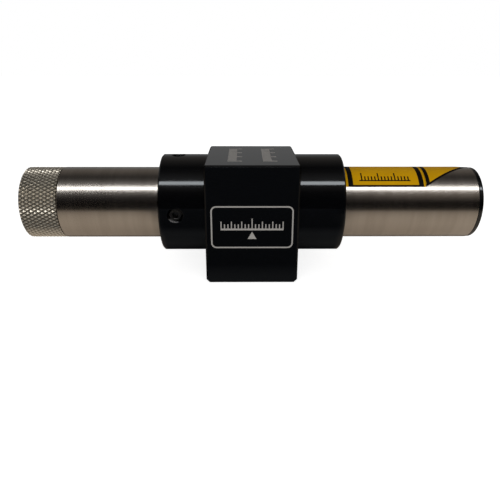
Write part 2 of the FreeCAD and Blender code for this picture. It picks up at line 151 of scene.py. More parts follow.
def blendColour(tree, factor, first, second):
    mix = makeNode(tree, "ShaderNodeMix", data_type="RGBA")
    for index, value in ((0, factor), (6, first), (7, second)):
        if isinstance(value, bpy.types.NodeSocket):
            tree.links.new(value, mix.inputs[index])
        else:
            mix.inputs[index].default_value = value
    return mix.outputs[2]


def rgb(red, green, blue):
    return (red, green, blue, 1.0)


def ranged(tree, value, low, high, start=0.35, end=0.65):
    # Carries the span from start to end over to the span from low to high, and stops there
    return makeNode(tree, "ShaderNodeMapRange", {"Value": value, "From Min": start, "From Max": end,
                                                 "To Min": low, "To Max": high}).outputs[0]


def tubePlace(tree):
    # Place from the tube's centre line, the way out from it and the distance to it
    place = makeNode(tree, "ShaderNodeTexCoord").outputs["Object"]
    centred = makeNode(tree, "ShaderNodeMapping", {"Vector": place, "Location": (0, 0, -tubeAxis)})
    parts = makeNode(tree, "ShaderNodeSeparateXYZ", {"Vector": centred.outputs[0]})
    across = makeNode(tree, "ShaderNodeCombineXYZ", {"Y": parts.outputs[1], "Z": parts.outputs[2]})
    radius = makeNode(tree, "ShaderNodeVectorMath", {0: across.outputs[0]}, operation="LENGTH")
    return parts.outputs, across.outputs[0], radius.outputs["Value"]


def faceNormal(tree):
    return makeNode(tree, "ShaderNodeNewGeometry").outputs["True Normal"]


def newMaterial(name, **sockets):
    material = bpy.data.materials.new(name)
    material.use_nodes = True
    tree = material.node_tree
    tree.nodes.clear()
    shader = makeNode(tree, "ShaderNodeBsdfPrincipled")
    output = makeNode(tree, "ShaderNodeOutputMaterial", {"Surface": shader.outputs[0]})
    output.is_active_output = True
    for socket, value in sockets.items():
        shader.inputs[socket.replace("_", " ")].default_value = value
    return material, tree, shader


def feed(tree, shader, **sources):
    for socket, source in sources.items():
        tree.links.new(source, shader.inputs[socket.replace("_", " ")])


def addBump(tree, shader, height, strength, normal=None, depth=1.0):
    inputs = {"Height": height, "Strength": strength, "Distance": depth * effects["relief"]}
    if normal is not None:
        inputs["Normal"] = normal
    feed(tree, shader, Normal=makeNode(tree, "ShaderNodeBump", inputs).outputs[0])


def newGroup(name, inputs, outputs):
    tree = bpy.data.node_groups.new(name, "ShaderNodeTree")
    for label, kind, value in inputs:
        socket = tree.interface.new_socket(name=label, in_out="INPUT", socket_type=kind)
        if value is not None:
            socket.default_value = value
    for label, kind in outputs:
        tree.interface.new_socket(name=label, in_out="OUTPUT", socket_type=kind)
    return tree, tree.nodes.new("NodeGroupInput"), tree.nodes.new("NodeGroupOutput")


def placeGroup(tree, group, **values):
    node = tree.nodes.new("ShaderNodeGroup")
    node.node_tree = group
    for label, value in values.items():
        node.inputs[label.replace("_", " ")].default_value = value
    return node


# Shared effects: masks and values that each finish takes with settings of its own

effects = {
    "linesPerMm": 3.0,
    "lineStreak": 1.2,  # how quickly the tool lines change on their way round the tube
    "lineDetail": 2.0,
    "lineRoughness": 0.5,
    "bandShare": 0.12,  # how many broad bands there are to a fine line
    "flatEnd": 0.7,  # a face that looks this far along the tube is a flat end
    "edgeRadius": 0.12 * mm,
    "edgeReach": 0.25 * mm,
    "edgePatches": 0.6,
    "edgeTurn": (0.995, 0.9),  # from no wear to full wear, as the soft normal leaves the flat one
    "edgeSamples": 6,
    "patchScale": 900.0,
    "patchDetail": 5.0,
    "patchRange": (0.42, 0.62),
    "broadScale": 90.0,
    "fineScale": 2500.0,
    "cloudDetail": 3.0,
    "cloudRoughness": 0.55,
    "relief": 0.02 * mm,
}


def makeLatheGrain():
    # Fine tool lines round the tube's axis, quick along X and slow round it, and rings on the flat ends
    tree, given, result = newGroup(
        "latheGrain",
        [("Lines per mm", "NodeSocketFloat", effects["linesPerMm"]),
         ("Streak", "NodeSocketFloat", effects["lineStreak"]),
         ("Detail", "NodeSocketFloat", effects["lineDetail"])],
        [("Lines", "NodeSocketFloat"), ("Bands", "NodeSocketFloat")],
    )
    parts, across, radius = tubePlace(tree)
    facing = makeNode(tree, "ShaderNodeSeparateXYZ", {"Vector": faceNormal(tree)})
    flatEnd = calc(tree, "GREATER_THAN", calc(tree, "ABSOLUTE", facing.outputs[0]), effects["flatEnd"])
    onSide = calc(tree, "MULTIPLY", parts[0], calc(tree, "SUBTRACT", 1.0, flatEnd))
    run = calc(tree, "ADD", onSide, calc(tree, "MULTIPLY", radius, flatEnd))
    outward = makeNode(tree, "ShaderNodeVectorMath", {0: across}, operation="NORMALIZE")
    around = makeNode(tree, "ShaderNodeVectorMath", {0: outward.outputs[0], "Scale": given.outputs["Streak"]},
                      operation="SCALE")
    for label, share in (("Lines", 1.0), ("Bands", effects["bandShare"])):
        density = calc(tree, "MULTIPLY", given.outputs["Lines per mm"], share / mm)
        lane = makeNode(tree, "ShaderNodeCombineXYZ", {"X": calc(tree, "MULTIPLY", run, density)})
        spot = makeNode(tree, "ShaderNodeVectorMath", {0: lane.outputs[0], 1: around.outputs[0]},
                        operation="ADD")
        noise = makeNode(tree, "ShaderNodeTexNoise", {"Vector": spot.outputs[0], "Scale": 1.0,
                                                      "Detail": given.outputs["Detail"],
                                                      "Roughness": effects["lineRoughness"]})
        tree.links.new(noise.outputs[0], result.inputs[label])
    return tree


def makeEdgeWear():
    # Softens sharp edges by a small radius and gives a mask of where they are
    tree, given, result = newGroup(
        "edgeWear",
        [("Radius", "NodeSocketFloat", effects["edgeRadius"]),
         ("Reach", "NodeSocketFloat", effects["edgeReach"]),
         ("Patchiness", "NodeSocketFloat", effects["edgePatches"])],
        [("Mask", "NodeSocketFloat"), ("Normal", "NodeSocketVector")],
    )
    samples = effects["edgeSamples"]
    soft = makeNode(tree, "ShaderNodeBevel", {"Radius": given.outputs["Radius"]}, samples=samples)
    wide = makeNode(tree, "ShaderNodeBevel", {"Radius": given.outputs["Reach"]}, samples=samples)
    match = makeNode(tree, "ShaderNodeVectorMath", {0: wide.outputs[0], 1: faceNormal(tree)},
                     operation="DOT_PRODUCT")
    edge = ranged(tree, match.outputs["Value"], 0.0, 1.0, *effects["edgeTurn"])
    place = makeNode(tree, "ShaderNodeTexCoord").outputs["Object"]
    noise = makeNode(tree, "ShaderNodeTexNoise", {"Vector": place, "Scale": effects["patchScale"],
                                                  "Detail": effects["patchDetail"]})
    patches = ranged(tree, noise.outputs[0], 0.0, 1.0, *effects["patchRange"])
    kept = calc(tree, "SUBTRACT", 1.0, calc(tree, "MULTIPLY", given.outputs["Patchiness"], patches))
    tree.links.new(calc(tree, "MULTIPLY", edge, kept, clamp=True), result.inputs["Mask"])
    tree.links.new(soft.outputs[0], result.inputs["Normal"])
    return tree


def makeMottle():
    # Broad and fine cloudiness for roughness and tone, as from handling and anodising
    tree, given, result = newGroup(
        "mottle",
        [("Broad Scale", "NodeSocketFloat", effects["broadScale"]),
         ("Fine Scale", "NodeSocketFloat", effects["fineScale"])],
        [("Broad", "NodeSocketFloat"), ("Fine", "NodeSocketFloat")],
    )
    place = makeNode(tree, "ShaderNodeTexCoord").outputs["Object"]
    for label in ("Broad", "Fine"):
        scale = given.outputs[label + " Scale"]
        noise = makeNode(tree, "ShaderNodeTexNoise", {"Vector": place, "Scale": scale,
                                                      "Detail": effects["cloudDetail"],
                                                      "Roughness": effects["cloudRoughness"]})
        tree.links.new(noise.outputs[0], result.inputs[label])
    return tree


latheGrain = makeLatheGrain()
edgeWear = makeEdgeWear()
mottle = makeMottle()
print("shared effects built")


# Finishes

anodised = {
    "colour": (0.0013, 0.0015, 0.002),
    "wornColour": (0.012, 0.013, 0.015),
    "specular": 0.8,
    "tint": (0.9, 0.96, 1.0, 1.0),
    "roughness": (0.08, 0.12),
    "linesPerMm": 5.0,
    "lineStreak": 3.0,
    "bump": 0.02,
    "paintedGlint": (0.62, 0.62, 0.63),  # painted glint: bright bare metal on the side screw holes' edges, only on faces turned towards the strip light
    "glintSide": (0.4, -0.5, 0.77),
    "glintFacing": (0.74, 0.92),  # from no painted glint to full, as a face turns more towards the strip light
    "glintRoughness": 0.3,
    "glintReach": 2.6 * mm,
    "glintBelow": 14.93 * mm,  # just under the collar's skin
    "cornerPaintedShade": (0.014, 0.014, 0.015),  # painted shade: the block's upright chamfers, near-black metal so they show almost no reflection
    "cornerFacing": 0.5,
}


def makeBlackAnodised():
    material, tree, shader = newMaterial("blackAnodised", Specular_IOR_Level=anodised["specular"],
                                         Specular_Tint=anodised["tint"])
    grain = placeGroup(tree, latheGrain, Lines_per_mm=anodised["linesPerMm"], Streak=anodised["lineStreak"])
    wear = placeGroup(tree, edgeWear)
    cloud = placeGroup(tree, mottle)
    parts, _, radius = tubePlace(tree)
    face = faceNormal(tree)

    # Painted glint, made as bright bare metal: close to a side screw, under the skin, and only on faces
    # turned up and forward, where the strip light would glint
    towardsGlint = makeNode(tree, "ShaderNodeVectorMath", {0: face, 1: anodised["glintSide"]},
                       operation="DOT_PRODUCT")
    paintedGlint = ranged(tree, towardsGlint.outputs["Value"], 0.0, 1.0, *anodised["glintFacing"])
    fromScrews = calc(tree, "ABSOLUTE", calc(tree, "SUBTRACT", parts[0], screwX))
    fromLevel = calc(tree, "ABSOLUTE", parts[2])
    for distance, limit in ((fromScrews, "glintReach"), (fromLevel, "glintReach"), (radius, "glintBelow")):
        paintedGlint = calc(tree, "MULTIPLY", paintedGlint, calc(tree, "LESS_THAN", distance, anodised[limit]))

    # Upright chamfers look both ways at once; painted shade turns them near-black, hiding their reflection of
    # the floor
    facing = makeNode(tree, "ShaderNodeSeparateXYZ", {"Vector": face}).outputs
    towardsX = calc(tree, "GREATER_THAN", calc(tree, "ABSOLUTE", facing[0]), anodised["cornerFacing"])
    towardsY = calc(tree, "GREATER_THAN", calc(tree, "ABSOLUTE", facing[1]), anodised["cornerFacing"])
    corner = calc(tree, "MULTIPLY", towardsX, towardsY)

    colour = blendColour(tree, wear.outputs["Mask"], rgb(*anodised["colour"]), rgb(*anodised["wornColour"]))
    colour = blendColour(tree, corner, colour, rgb(*anodised["cornerPaintedShade"]))
    colour = blendColour(tree, paintedGlint, colour, rgb(*anodised["paintedGlint"]))
    smooth = ranged(tree, cloud.outputs["Broad"], *anodised["roughness"])
    rough = calc(tree, "MAXIMUM", smooth, calc(tree, "MULTIPLY", paintedGlint, anodised["glintRoughness"]))
    feed(tree, shader, Base_Color=colour, Metallic=calc(tree, "MAXIMUM", paintedGlint, corner), Roughness=rough)
    relief = calc(tree, "ADD", grain.outputs["Lines"], cloud.outputs["Fine"])
    addBump(tree, shader, relief, anodised["bump"], wear.outputs["Normal"])
    return material


steel = {
    "light": (0.62, 0.585, 0.54),
    "dark": (0.56, 0.525, 0.48),
    "roughness": (0.2, 0.235),
    "anisotropy": 0.3,
    "linesPerMm": 4.0,
    "lineStreak": 0.35,
    "edgeRadius": 0.1 * mm,
    "bump": 0.02,
}


def makeTubeSteel():
    material, tree, shader = newMaterial("tubeSteel", Metallic=1.0, Anisotropic=steel["anisotropy"])
    grain = placeGroup(tree, latheGrain, Lines_per_mm=steel["linesPerMm"], Streak=steel["lineStreak"])
    wear = placeGroup(tree, edgeWear, Radius=steel["edgeRadius"])
    tone = ranged(tree, grain.outputs["Bands"], 0.0, 1.0)
    tangent = makeNode(tree, "ShaderNodeTangent", direction_type="RADIAL", axis="X")
    feed(tree, shader, Base_Color=blendColour(tree, tone, rgb(*steel["dark"]), rgb(*steel["light"])),
         Roughness=ranged(tree, grain.outputs["Lines"], *steel["roughness"]), Tangent=tangent.outputs[0])
    addBump(tree, shader, grain.outputs["Lines"], steel["bump"], wear.outputs["Normal"])
    return material


capFinish = {
    "crest": (0.97, 0.9, 0.76),
    "valley": (0.03, 0.024, 0.018),  # oil and dirt in the grooves, and painted shade in them too
    "metallic": 0.72,
    "roughness": (0.22, 0.3),
    "cloudTone": (0.8, 1.0),
    "broadScale": 160.0,
    "fineScale": 4000.0,
    "linesPerMm": 4.0,
    "lineStreak": 0.4,
    "edgeRadius": 0.05 * mm,
    "bump": 0.08,
    "valleyBelow": 0.4 * mm,  # this and the next two are depths under the tube's skin
    "crestBelow": 0.08 * mm,
    "spigotBelow": 1.0 * mm,
    "threadFrom": 13.6 * mm,  # from the cap's end
    "threadRoot": 9.1 * mm,
    "threadCrest": 9.5 * mm,
    "threadShade": 0.8,
}


def makeKnurledSteel():
    # Bright crests over dark valleys, whose darkness is partly dirt and partly painted shade, and a bright
    # spigot with painted shade at its thread's root
    material, tree, shader = newMaterial("knurledSteel", Metallic=capFinish["metallic"])
    cloud = placeGroup(tree, mottle, Broad_Scale=capFinish["broadScale"], Fine_Scale=capFinish["fineScale"])
    wear = placeGroup(tree, edgeWear, Radius=capFinish["edgeRadius"])
    grain = placeGroup(tree, latheGrain, Lines_per_mm=capFinish["linesPerMm"], Streak=capFinish["lineStreak"])
    parts, _, radius = tubePlace(tree)
    crest = ranged(tree, radius, 0.0, 1.0, tubeRadius - capFinish["valleyBelow"],
                   tubeRadius - capFinish["crestBelow"])
    spigot = calc(tree, "LESS_THAN", radius, tubeRadius - capFinish["spigotBelow"])
    inThread = calc(tree, "GREATER_THAN", parts[0], capLow.x + capFinish["threadFrom"])
    threadTop = ranged(tree, radius, 0.0, 1.0, capFinish["threadRoot"], capFinish["threadCrest"])
    # Painted shade: the thread is darker towards its root
    root = calc(tree, "MULTIPLY", inThread, calc(tree, "SUBTRACT", 1.0, threadTop))
    lit = calc(tree, "SUBTRACT", 1.0, calc(tree, "MULTIPLY", root, capFinish["threadShade"]))
    bright = calc(tree, "MAXIMUM", crest, calc(tree, "MULTIPLY", spigot, lit))
    tone = calc(tree, "MULTIPLY", bright, ranged(tree, cloud.outputs["Fine"], *capFinish["cloudTone"]))
    colour = blendColour(tree, tone, rgb(*capFinish["valley"]), rgb(*capFinish["crest"]))
    feed(tree, shader, Base_Color=colour,
         Roughness=ranged(tree, cloud.outputs["Broad"], *capFinish["roughness"]))
    addBump(tree, shader, grain.outputs["Lines"], capFinish["bump"], wear.outputs["Normal"])
    return material


smallPieces = {
    "edgeRadius": 0.06 * mm,
    "metalBump": 0.1,
    "metalDepth": 0.5,  # share of the usual relief
    "dullBump": 0.15,
    "dullBroad": 250.0,
    "dullFine": 3500.0,
    "glassIndex": 1.5,
    "glassDeep": (0.88, 0.93, 1.0),
    "glassPale": (0.93, 0.97, 1.0),
    "glassRoughness": (0.0, 0.03),
    "glassBroad": 400.0,
}


def makePlainMetal(name, light, dark, roughness, linesPerMm=5.0, worn=None):
    # Turned or drawn metal of the smaller pieces, its edges worn bright where a colour for that is given
    material, tree, shader = newMaterial(name, Metallic=1.0)
    grain = placeGroup(tree, latheGrain, Lines_per_mm=linesPerMm)
    wear = placeGroup(tree, edgeWear, Radius=smallPieces["edgeRadius"])
    colour = blendColour(tree, ranged(tree, grain.outputs["Lines"], 0.0, 1.0), rgb(*dark), rgb(*light))
    if worn:
        colour = blendColour(tree, wear.outputs["Mask"], colour, rgb(*worn))
    feed(tree, shader, Base_Color=colour, Roughness=ranged(tree, grain.outputs["Bands"], *roughness))
    addBump(tree, shader, grain.outputs["Lines"], smallPieces["metalBump"], wear.outputs["Normal"],
            smallPieces["metalDepth"])
    return material


def makeDull(name, light, dark, roughness, specular=0.4):
    # Rubber, polymer, board and other unpolished pieces
    material, tree, shader = newMaterial(name, Specular_IOR_Level=specular)
    cloud = placeGroup(tree, mottle, Broad_Scale=smallPieces["dullBroad"], Fine_Scale=smallPieces["dullFine"])
    colour = blendColour(tree, ranged(tree, cloud.outputs["Broad"], 0.0, 1.0), rgb(*dark), rgb(*light))
    feed(tree, shader, Base_Color=colour, Roughness=ranged(tree, cloud.outputs["Fine"], *roughness))
    addBump(tree, shader, cloud.outputs["Fine"], smallPieces["dullBump"])
    return material


def makeGlass():
    material, tree, shader = newMaterial("coatedGlass", Transmission_Weight=1.0,
                                         IOR=smallPieces["glassIndex"])
    cloud = placeGroup(tree, mottle, Broad_Scale=smallPieces["glassBroad"])
    colour = blendColour(tree, cloud.outputs["Broad"],
                         rgb(*smallPieces["glassDeep"]), rgb(*smallPieces["glassPale"]))
    feed(tree, shader, Base_Color=colour,
         Roughness=ranged(tree, cloud.outputs["Fine"], *smallPieces["glassRoughness"]))
    return material


smallMetals = {
    "blackSteel": {"light": (0.2, 0.2, 0.205), "dark": (0.15, 0.15, 0.155), "roughness": (0.22, 0.3),
                   "worn": (0.5, 0.49, 0.47)},
    "magnetNickel": {"light": (0.66, 0.63, 0.57), "dark": (0.58, 0.55, 0.5), "roughness": (0.16, 0.28)},
    "turnedBrass": {"light": (0.78, 0.58, 0.26), "dark": (0.66, 0.47, 0.2), "roughness": (0.2, 0.32)},
    "diodeGold": {"light": (0.9, 0.68, 0.3), "dark": (0.82, 0.6, 0.25), "roughness": (0.18, 0.26)},
    "springSteel": {"light": (0.66, 0.66, 0.65), "dark": (0.55, 0.55, 0.54), "roughness": (0.2, 0.3)},
    "sleeveAluminium": {"light": (0.74, 0.74, 0.75), "dark": (0.64, 0.64, 0.66), "roughness": (0.25, 0.36)},
    "cellJacket": {"light": (0.4, 0.41, 0.43), "dark": (0.33, 0.34, 0.36), "roughness": (0.28, 0.36),
                   "linesPerMm": 1.0},
}

dullPieces = {
    "sealRubber": {"light": (0.018, 0.018, 0.018), "dark": (0.012, 0.012, 0.012), "roughness": (0.45, 0.6)},
    "blackPolymer": {"light": (0.03, 0.03, 0.031), "dark": (0.02, 0.02, 0.021), "roughness": (0.4, 0.55)},
    "boardLaminate": {"light": (0.03, 0.2, 0.08), "dark": (0.02, 0.15, 0.06), "roughness": (0.3, 0.4),
                      "specular": 0.5},
    "componentPlastic": {"light": (0.03, 0.03, 0.032), "dark": (0.02, 0.02, 0.022), "roughness": (0.25, 0.4),
                         "specular": 0.5},
}

finishes = {
    "blackAnodised": makeBlackAnodised(),
    "tubeSteel": makeTubeSteel(),
    "knurledSteel": makeKnurledSteel(),
    "coatedGlass": makeGlass(),
}
for finishName, look in smallMetals.items():
    finishes[finishName] = makePlainMetal(finishName, **look)
for finishName, look in dullPieces.items():
    finishes[finishName] = makeDull(finishName, **look)
print(len(finishes), "finishes built")


# Stickers: amber film with black borders, and a plain scale on the straight one

stickers = {
    "amber": (0.64, 0.335, 0.001),
    "amberDeep": (0.58, 0.3, 0.001),
    "ink": (0.006, 0.005, 0.004),
    "specular": 0.04,
    "roughness": (0.36, 0.46),
    "bump": 0.05,
    "broadScale": 120.0,
    "fineScale": 3000.0,
    "wrap": 102.0,  # degrees round the tube
    "centre": 1.0,  # degrees in front of the top
    "panelMargin": 0.75,  # this and all below are millimetres of flat film
    "panelRearBar": 1.5,
    "panelFrontBar": 1.45,
    "panelFrontMargin": 0.55,
    "sideMargin": 0.25,
    "sideLine": 0.6,
    "tipMargin": 0.1,
    "tipBar": 1.25,  # where the tip's own bar ends
    "tipLine": 0.8,
    "scaleLine": 7.2,  # where the printed scale's line runs, from the sticker's middle
    "scaleRear": 4.2,  # how far the scale stays from the sticker's ends
    "scaleFront": 4.4,
    "scaleInk": 0.4,
    "tick": (1.0, 1.5),  # pitch and length
    "longTick": (5.0, 3.0),
}


def stickerPlace(tree, startX):
    # Distance along the sticker and from its middle line, in millimetres of flat film
    place = makeNode(tree, "ShaderNodeTexCoord").outputs["Object"]
    centred = makeNode(tree, "ShaderNodeMapping", {"Vector": place, "Location": (-startX, 0, -tubeAxis)})
    parts = makeNode(tree, "ShaderNodeSeparateXYZ", {"Vector": centred.outputs[0]})
    angle = calc(tree, "ARCTAN2", parts.outputs[1], parts.outputs[2])
    turned = calc(tree, "ADD", angle, math.radians(stickers["centre"]))
    side = calc(tree, "MULTIPLY", turned, tubeRadius / mm)
    return calc(tree, "MULTIPLY", parts.outputs[0], 1 / mm), calc(tree, "ABSOLUTE", side)


def filmHalfWidth():
    return math.radians(stickers["wrap"] / 2) * tubeRadius / mm


def between(tree, value, low, high):
    above = calc(tree, "GREATER_THAN", value, low)
    below = calc(tree, "LESS_THAN", value, high)
    return calc(tree, "MULTIPLY", above, below)


def inkedFilm(tree, shader, ink):
    cloud = placeGroup(tree, mottle, Broad_Scale=stickers["broadScale"], Fine_Scale=stickers["fineScale"])
    amber = blendColour(tree, ranged(tree, cloud.outputs["Broad"], 0.0, 1.0),
                        rgb(*stickers["amberDeep"]), rgb(*stickers["amber"]))
    feed(tree, shader, Base_Color=blendColour(tree, ink, amber, rgb(*stickers["ink"])),
         Roughness=ranged(tree, cloud.outputs["Fine"], *stickers["roughness"]))
    addBump(tree, shader, cloud.outputs["Fine"], stickers["bump"])


def scaleInk(tree, along, off, length):
    # A plain printed scale, one tick a millimetre and every fifth one longer
    line = stickers["scaleLine"]
    ink = stickers["scaleInk"]
    inField = between(tree, along, stickers["scaleRear"], length - stickers["scaleFront"])
    printed = calc(tree, "MULTIPLY", between(tree, off, line, line + ink), inField)
    for pitch, reach in (stickers["tick"], stickers["longTick"]):
        nearest = calc(tree, "PINGPONG", along, pitch / 2)
        tick = calc(tree, "LESS_THAN", nearest, ink / 2)
        tick = calc(tree, "MULTIPLY", tick, between(tree, off, line - reach, line))
        printed = calc(tree, "MAXIMUM", printed, calc(tree, "MULTIPLY", tick, inField))
    return printed


def makePanelFilm():
    material, tree, shader = newMaterial("panelFilm", Specular_IOR_Level=stickers["specular"])
    along, off = stickerPlace(tree, panelLow.x)
    length = (panelHigh.x - panelLow.x) / mm
    rearStart = stickers["panelMargin"]
    frontEnd = length - stickers["panelFrontMargin"]
    lineEnd = filmHalfWidth() - stickers["sideMargin"]
    rear = between(tree, along, rearStart, rearStart + stickers["panelRearBar"])
    front = between(tree, along, frontEnd - stickers["panelFrontBar"], frontEnd)
    sides = between(tree, off, lineEnd - stickers["sideLine"], lineEnd)
    border = calc(tree, "MAXIMUM", calc(tree, "MAXIMUM", rear, front), sides)
    border = calc(tree, "MULTIPLY", border, between(tree, along, rearStart, frontEnd))
    border = calc(tree, "MULTIPLY", border, calc(tree, "LESS_THAN", off, lineEnd))
    inkedFilm(tree, shader, calc(tree, "MAXIMUM", border, scaleInk(tree, along, off, length)))
    return material


def makeTipFilm():
    material, tree, shader = newMaterial("tipFilm", Specular_IOR_Level=stickers["specular"])
    along, off = stickerPlace(tree, tipLow.x)
    length = (tipHigh.x - tipLow.x) / mm
    halfWidth = filmHalfWidth()
    edge = calc(tree, "MULTIPLY_ADD", along, -halfWidth / length, halfWidth)
    slope = math.atan2(halfWidth, length)
    inward = calc(tree, "MULTIPLY", calc(tree, "SUBTRACT", edge, off), math.cos(slope))
    border = calc(tree, "LESS_THAN", inward, stickers["tipLine"])
    bar = between(tree, along, stickers["tipMargin"], stickers["tipBar"])
    inkedFilm(tree, shader, calc(tree, "MAXIMUM", border, bar))
    return material


finishes["panelFilm"] = makePanelFilm()
finishes["tipFilm"] = makeTipFilm()
print("sticker films built")


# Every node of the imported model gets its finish

nodeFinishes = {
    "housing": "blackAnodised",
    "front_bezel": "blackAnodised",
    "adjusting_screws": "blackSteel",
    "base_magnets": "magnetNickel",
    "laser_tube": "tubeSteel",
    "end_cap": "knurledSteel",
    "pivot_ring": "sealRubber",
    "bezel_seal": "sealRubber",
    "cap_seal": "sealRubber",
    "front_window": "coatedGlass",
    "line_lens": "coatedGlass",
    "collimating_lens": "coatedGlass",
    "line_lens_holder": "blackPolymer",
    "cell_liner": "blackPolymer",
    "thrust_washer": "blackPolymer",
    "laser_barrel": "turnedBrass",
    "lens_retainer": "turnedBrass",
    "contact_button": "turnedBrass",
    "contact_cup": "turnedBrass",
    "laser_diode": "diodeGold",
    "focus_spring": "springSteel",
    "battery_spring": "springSteel",
    "module_sleeve": "sleeveAluminium",
    "contact_disc": "boardLaminate",
    "driver_board": "boardLaminate",
    "driver_parts": "componentPlastic",
    "front_cell": "cellJacket",
    "rear_cell": "cellJacket",
    "sticker_panel": "panelFilm",
    "sticker_tip": "tipFilm",
}
for nodeName, finishName in nodeFinishes.items():
    node = nodes[nodeName]
    for slot in node.material_slots:
        slot.material = finishes[finishName]
    if not node.material_slots:
        node.data.materials.append(finishes[finishName])
print("finishes on", len(nodeFinishes), "nodes")


# Marks on the black finish: a framed scale in front and two plain scales on top

marks = {
    "silver": (0.4, 0.38, 0.355),
    "silverDeep": (0.34, 0.322, 0.3),
    "specular": 0.5,
    "roughness": (0.45, 0.6),
    "bump": 0.1,
    "bumpDepth": 0.5,  # share of the usual relief
    "broadScale": 300.0,
    "fineScale": 6000.0,
    "proud": 0.02 * mm,
    "frameSize": (24.0 * mm, 12.8 * mm),
    "frameMiddle": 17.6 * mm,  # height above the base
    "frameLine": 0.42 * mm,
    "frameCorner": 1.6 * mm,
    "cornerSteps": 6,
    "scaleHalf": 9,  # millimetres to each side of the middle
    "scaleHeight": 17.0 * mm,
    "barThickness": 0.55 * mm,
    "tickWidth": 0.32 * mm,
    "tickLengths": (1.3 * mm, 2.1 * mm, 3.0 * mm),
    "tickGroup": 3,  # every third tick is longer
    "pointerRadius": 1.5 * mm,
    "pointerDrop": 2.2 * mm,  # from the scale's line down to the pointer's middle
    "topColumns": ((-5.0 * mm, 4.2 * mm), (5.3 * mm, 4.2 * mm)),  # middle and reach of each column
    "topFrom": -10.0 * mm,
    "topRows": 16,
    "topPitch": 1.35 * mm,
    "topLine": 0.95 * mm,
    "topGroup": 5,  # every fifth tick is longer
    "topShort": 0.62,  # the others' share of its length
}


def makeMarkSilver():
    material, tree, shader = newMaterial("markSilver", Specular_IOR_Level=marks["specular"])
    cloud = placeGroup(tree, mottle, Broad_Scale=marks["broadScale"], Fine_Scale=marks["fineScale"])
    tone = ranged(tree, cloud.outputs["Fine"], 0.0, 1.0)
    feed(tree, shader, Base_Color=blendColour(tree, tone, rgb(*marks["silverDeep"]), rgb(*marks["silver"])),
         Roughness=ranged(tree, cloud.outputs["Fine"], *marks["roughness"]))
    addBump(tree, shader, cloud.outputs["Fine"], marks["bump"], depth=marks["bumpDepth"])
    return material


def addBar(centre, size):
    deselectAll()
    bpy.ops.mesh.primitive_cube_add(size=1, location=centre)
    bar = bpy.context.object
    bar.scale = size
    bpy.ops.object.transform_apply(location=False, rotation=False, scale=True)
    return bar


def makeFrontFrame(faceY):
    # A thin rounded frame, cut from a sheet: corners rounded, inset, and the middle taken out
    width, height = marks["frameSize"]
    deselectAll()
    bpy.ops.mesh.primitive_plane_add(size=1, location=(0, faceY, marks["frameMiddle"]),
                                     rotation=(math.pi / 2, 0, 0))
    border = nameActive("frontFrame")
    border.scale = (width, height, 1)
    bpy.ops.object.transform_apply(location=False, rotation=True, scale=True)
    bpy.ops.object.mode_set(mode="EDIT")
    bpy.ops.mesh.select_all(action="SELECT")
    bpy.ops.mesh.bevel(offset=marks["frameCorner"], segments=marks["cornerSteps"], affect="VERTICES")
    bpy.ops.mesh.select_all(action="SELECT")
    bpy.ops.mesh.inset(thickness=marks["frameLine"])
    bpy.ops.mesh.delete(type="FACE")
    bpy.ops.object.mode_set(mode="OBJECT")
    applyModifier(border, "SOLIDIFY", thickness=2 * marks["proud"], offset=0)
    return border


def frontTickLength(step):
    short, long, longest = marks["tickLengths"]
    if step == 0:
        return longest
    return long if step % marks["tickGroup"] == 0 else short


def makeFrontMark(finish):
    faceY = housingLow.y
    thick = 2 * marks["proud"]
    half = marks["scaleHalf"]
    barZ = marks["scaleHeight"]
    bar = marks["barThickness"]
    pieces = [makeFrontFrame(faceY)]
    pieces.append(addBar((0, faceY, barZ), (2 * half * mm + marks["tickWidth"], thick, bar)))
    for step in range(-half, half + 1):
        long = frontTickLength(step)
        middle = barZ + bar / 2 + long / 2
        pieces.append(addBar((step * mm, faceY, middle), (marks["tickWidth"], thick, long)))
    deselectAll()
    radius = marks["pointerRadius"]
    bpy.ops.mesh.primitive_cone_add(vertices=3, radius1=radius, radius2=radius, depth=thick,
                                    location=(0, faceY, barZ - marks["pointerDrop"]),
                                    rotation=(math.pi / 2, 0, 0))
    pieces.append(bpy.context.object)
    settle(joinPieces(pieces, "frontMark"), finish, "tool_body")


def makeTopMarks(finish):
    topZ = housingHigh.z
    thick = 2 * marks["proud"]
    pieces = []
    for middle, reach in marks["topColumns"]:
        for row in range(marks["topRows"]):
            y = marks["topFrom"] + row * marks["topPitch"]
            long = reach if row % marks["topGroup"] == 0 else reach * marks["topShort"]
            x = middle + (long - reach) / 2
            pieces.append(addBar((x, y, topZ), (long, marks["topLine"], thick)))
    settle(joinPieces(pieces, "topMarks"), finish, "tool_body")


markSilver = makeMarkSilver()
makeFrontMark(markSilver)
makeTopMarks(markSilver)
print("front and top marks built")


# The knurled cap, modelled again with worn crests, a seal groove and a real thread

cap = {  # millimetres, degrees and counts
    "knurlCount": 58,
    "knurlRows": 10,
    "knurlDepth": 0.45,
    "endBevel": 0.45,
    "shoulderBevel": 0.25,
    "headLength": 11.4,
    "wall": 3.0,
    "boreRadius": 7.6,
    "spigotRadius": 9.6,
    "grooveStart": 12.0,  # this and the next four are distances from the cap's end
    "grooveEnd": 13.5,
    "threadStart": 13.85,
    "threadEnd": 20.1,
    "spigotEnd": 20.4,
    "grooveRadius": 8.62,
    "coreRadius": 9.08,
    "leadIn": 0.3,
    "threadPitch": 1.0,
    "threadTurns": 5,
    "threadSteps": 72,
    "threadRunIn": 0.5,
    "threadFlank": 0.45,  # half the thread's width at its root, in pitches
    "threadFlat": 0.06,  # half its width at the crest
    "threadSunk": 0.05,  # how far its root lies inside the core
    "crestWear": 0.09,
    "wearAngle": 22.0,
    "headSmooth": 18.0,
    "threadSmooth": 30.0,
    "tipsAbove": 10.9,  # only the net's tips lie further out than this
    "netAbove": 10.3,  # and all of the net further out than this
    "slack": 0.01,
    "rowSlack": 0.1,  # in rows
}


